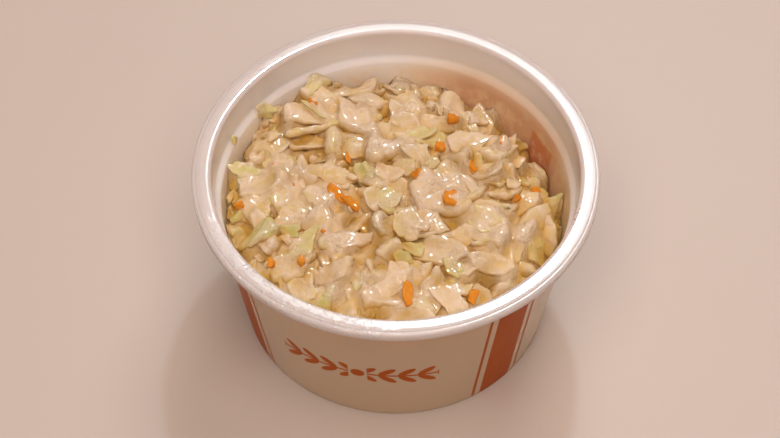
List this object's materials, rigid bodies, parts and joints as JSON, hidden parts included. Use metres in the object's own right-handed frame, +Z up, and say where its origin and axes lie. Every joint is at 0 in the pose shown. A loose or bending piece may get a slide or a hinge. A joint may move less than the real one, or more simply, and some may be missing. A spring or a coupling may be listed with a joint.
{
  "type": "coleslaw in a tub",
  "caption": "Round plastic tub with a flat lid flange, filled with a heap of chopped cabbage and carrot in creamy dressing.",
  "frame": {"origin": "centre of the circle that the tub stands on", "axes": "+Z up along the tub's axis; the heap is lowest towards +X and +Y"},
  "size_m": [0.095, 0.095, 0.048],
  "materials": {
    "tub": "satin",
    "slaw": "wet",
    "scrap": "wet"
  },
  "bodies": {
    "root": {"cup": "tub", "slaw": "slaw", "ledge_scrap": "scrap"}
  },
  "joints": []
}
